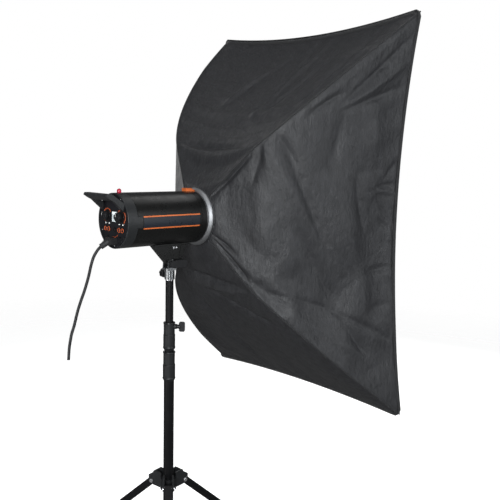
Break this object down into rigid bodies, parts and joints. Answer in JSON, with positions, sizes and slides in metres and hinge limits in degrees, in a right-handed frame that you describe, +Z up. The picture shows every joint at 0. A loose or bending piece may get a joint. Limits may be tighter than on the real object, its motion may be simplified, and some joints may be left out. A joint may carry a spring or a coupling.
{
  "type": "studio softbox",
  "caption": "Rectangular black fabric softbox on a cylindrical monolight flash head, held by a tilting receiver on a telescopic tripod light stand.",
  "frame": {"origin": "centre of the column's rubber foot, on the floor under the stand's column", "axes": "+Z up along the column, -Y the way the softbox faces, +X to the softbox's left as seen from behind it"},
  "size_m": [0.9129, 0.8385, 1.59],
  "materials": {
    "black_paint": "satin black powder coat on the stand's tubes and legs",
    "collar_plastic": "matt dark grey glass-filled nylon",
    "knob_plastic": "matt black knob plastic",
    "black_rubber": "matt black rubber",
    "bright_steel": "bright nickel plated steel",
    "zinc_metal": "bead-blasted zinc alloy",
    "housing_paint": "satin black housing",
    "cover_plastic": "fine textured dark grey plastic",
    "orange_trim": "orange moulded trim",
    "red_lens": "red translucent dome",
    "panel_plastic": "black control panel",
    "display_face": "pale liquid crystal window",
    "white_lamp": "white light pipes",
    "cast_aluminium": "spun and satin finished aluminium",
    "lamp_glass": "clear glass",
    "reflector_silver": "bright reflector",
    "capacitor_sleeve": "blue shrink sleeve",
    "board_green": "green circuit board with black heat sink",
    "black_fabric": "black coated polyester",
    "black_webbing": "black woven binding tape",
    "white_fabric": "white diffusion cloth",
    "rod_steel": "grey spring rod"
  },
  "bodies": {
    "base_column": {"base_tube": "black_paint", "column_foot": "black_rubber", "base_collar": "collar_plastic", "lower_hub": "collar_plastic"},
    "leg_collar": {"leg_hub": "collar_plastic", "leg_pivot_bolts": "bright_steel"},
    "leg_collar_knob": {"hub_knob": "knob_plastic"},
    "leg_1": {"leg_1": "black_paint", "foot_1": "black_rubber"},
    "leg_2": {"leg_2": "black_paint", "foot_2": "black_rubber"},
    "leg_3": {"leg_3": "black_paint", "foot_3": "black_rubber"},
    "brace_1": {"brace_1": "black_paint"},
    "brace_2": {"brace_2": "black_paint"},
    "brace_3": {"brace_3": "black_paint"},
    "base_knob": {"base_clamp_knob": "knob_plastic"},
    "middle_section": {"middle_tube": "black_paint", "middle_collar": "collar_plastic"},
    "middle_knob": {"middle_clamp_knob": "knob_plastic"},
    "top_section": {"top_tube": "black_paint", "spigot": "bright_steel"},
    "receiver": {"receiver": "zinc_metal"},
    "receiver_knob": {"receiver_knob": "knob_plastic"},
    "tilt_lever": {"tilt_lever": "knob_plastic"},
    "flash_head": {"head_bracket": "housing_paint", "bracket_screws": "bright_steel", "main_housing": "housing_paint", "stripe_trims": "orange_trim", "front_collar": "housing_paint", "rear_cover": "cover_plastic", "control_panel": "panel_plastic", "rear_handle": "cover_plastic", "display_window": "display_face", "indicator_lights": "white_lamp", "jack_sockets": "knob_plastic", "slave_sensor": "red_lens", "mains_plug": "black_rubber", "power_cable": "black_rubber", "flash_tube": "lamp_glass", "modelling_lamp": "lamp_glass", "reflector_plate": "reflector_silver", "capacitor_bank": "capacitor_sleeve", "power_board": "board_green", "adapter_ring": "cast_aluminium"},
    "release_slider": {"release_slider": "orange_trim"},
    "dial_left": {"dial_left": "knob_plastic"},
    "dial_right": {"dial_right": "knob_plastic"},
    "push_button_1": {"push_button_1": "knob_plastic"},
    "push_button_2": {"push_button_2": "knob_plastic"},
    "push_button_3": {"push_button_3": "knob_plastic"},
    "push_button_4": {"push_button_4": "knob_plastic"},
    "power_switch": {"power_switch": "knob_plastic"},
    "cooling_fan": {"cooling_fan": "knob_plastic"},
    "softbox": {"rod_ring": "cast_aluminium", "support_rods": "rod_steel", "softbox_shell": "black_fabric", "edge_binding": "black_webbing", "inner_baffle": "white_fabric", "front_diffuser": "white_fabric"}
  },
  "joints": [
    {"name": "leg_collar_slide", "type": "slide", "parent": "base_column", "child": "leg_collar", "axis": [0, 0, 1], "range_m": [0, 0.20304]},
    {"name": "leg_1_fold", "type": "hinge", "parent": "leg_collar", "child": "leg_1", "pos_m": [0.03746, 0.01668, 0.435], "axis": [-0.4067, 0.9135, 0], "range_deg": [0, 42]},
    {"name": "brace_1_fold", "type": "hinge", "parent": "leg_1", "child": "brace_1", "pos_m": [0.24927, 0.11098, 0.22623], "axis": [-0.4067, 0.9135, 0], "range_deg": [-84, 0]},
    {"name": "leg_2_fold", "type": "hinge", "parent": "leg_collar", "child": "leg_2", "pos_m": [-0.03317, 0.0241, 0.435], "axis": [-0.5878, -0.809, 0], "range_deg": [0, 42]},
    {"name": "brace_2_fold", "type": "hinge", "parent": "leg_2", "child": "brace_2", "pos_m": [-0.22075, 0.16038, 0.22623], "axis": [-0.5878, -0.809, 0], "range_deg": [-84, 0]},
    {"name": "leg_3_fold", "type": "hinge", "parent": "leg_collar", "child": "leg_3", "pos_m": [-0.00429, -0.04078, 0.435], "axis": [0.9945, -0.1045, 0], "range_deg": [0, 42]},
    {"name": "brace_3_fold", "type": "hinge", "parent": "leg_3", "child": "brace_3", "pos_m": [-0.02852, -0.27137, 0.22623], "axis": [0.9945, -0.1045, 0], "range_deg": [-84, 0]},
    {"name": "leg_collar_knob_turn", "type": "hinge", "parent": "leg_collar", "child": "leg_collar_knob", "pos_m": [0, 0, 0.433], "axis": [0.809, -0.5878, 0], "range_deg": [0, 360]},
    {"name": "base_knob_turn", "type": "hinge", "parent": "base_column", "child": "base_knob", "pos_m": [0, 0, 0.757], "axis": [0.809, -0.5878, 0], "range_deg": [0, 360]},
    {"name": "middle_section_slide", "type": "slide", "parent": "base_column", "child": "middle_section", "axis": [0, 0, 1], "range_m": [0, 0.42]},
    {"name": "middle_knob_turn", "type": "hinge", "parent": "middle_section", "child": "middle_knob", "pos_m": [0, 0, 0.829], "axis": [-0.7431, -0.6691, 0], "range_deg": [0, 360]},
    {"name": "top_section_slide", "type": "slide", "parent": "middle_section", "child": "top_section", "axis": [0, 0, 1], "range_m": [-0.05, 0.4]},
    {"name": "head_pan", "type": "hinge", "parent": "top_section", "child": "receiver", "pos_m": [0, 0, 0.957], "axis": [0, 0, 1], "continuous": true},
    {"name": "receiver_knob_turn", "type": "hinge", "parent": "receiver", "child": "receiver_knob", "pos_m": [0.02, 0, 0.956], "axis": [1, 0, 0], "range_deg": [0, 360]},
    {"name": "tilt_lever_turn", "type": "hinge", "parent": "receiver", "child": "tilt_lever", "pos_m": [0, 0, 0.982], "axis": [1, 0, 0], "range_deg": [0, 60]},
    {"name": "head_tilt", "type": "hinge", "parent": "receiver", "child": "flash_head", "pos_m": [0, 0, 0.982], "axis": [1, 0, 0], "range_deg": [-45, 25], "deforming": ["power_cable"]},
    {"name": "release_slide", "type": "slide", "parent": "flash_head", "child": "release_slider", "axis": [0, 1, 0], "range_m": [0, 0.006]},
    {"name": "dial_left_turn", "type": "hinge", "parent": "flash_head", "child": "dial_left", "pos_m": [0.028, 0.158, 1.1], "axis": [0, 1, 0], "range_deg": [-135, 135]},
    {"name": "dial_right_turn", "type": "hinge", "parent": "flash_head", "child": "dial_right", "pos_m": [-0.028, 0.158, 1.1], "axis": [0, 1, 0], "range_deg": [-135, 135]},
    {"name": "push_button_1_press", "type": "slide", "parent": "flash_head", "child": "push_button_1", "axis": [0, -1, 0], "range_m": [0, 0.0012]},
    {"name": "push_button_2_press", "type": "slide", "parent": "flash_head", "child": "push_button_2", "axis": [0, -1, 0], "range_m": [0, 0.0012]},
    {"name": "push_button_3_press", "type": "slide", "parent": "flash_head", "child": "push_button_3", "axis": [0, -1, 0], "range_m": [0, 0.0012]},
    {"name": "push_button_4_press", "type": "slide", "parent": "flash_head", "child": "push_button_4", "axis": [0, -1, 0], "range_m": [0, 0.0012]},
    {"name": "power_switch_rock", "type": "hinge", "parent": "flash_head", "child": "power_switch", "pos_m": [-0.023, 0.146, 1.048], "axis": [1, 0, 0], "range_deg": [-8, 8]},
    {"name": "fan_spin", "type": "hinge", "parent": "flash_head", "child": "cooling_fan", "pos_m": [0, 0.131, 1.09], "axis": [0, 1, 0], "continuous": true},
    {"name": "softbox_spin", "type": "hinge", "parent": "flash_head", "child": "softbox", "pos_m": [0, -0.102, 1.09], "axis": [0, 1, 0], "continuous": true}
  ],
  "couplings": [
    {"joint": "leg_1_fold", "follows": "leg_collar_slide", "rad_per_m": 3.6102},
    {"joint": "brace_1_fold", "follows": "leg_collar_slide", "rad_per_m": -7.2205},
    {"joint": "leg_2_fold", "follows": "leg_collar_slide", "rad_per_m": 3.6102},
    {"joint": "brace_2_fold", "follows": "leg_collar_slide", "rad_per_m": -7.2205},
    {"joint": "leg_3_fold", "follows": "leg_collar_slide", "rad_per_m": 3.6102},
    {"joint": "brace_3_fold", "follows": "leg_collar_slide", "rad_per_m": -7.2205}
  ]
}
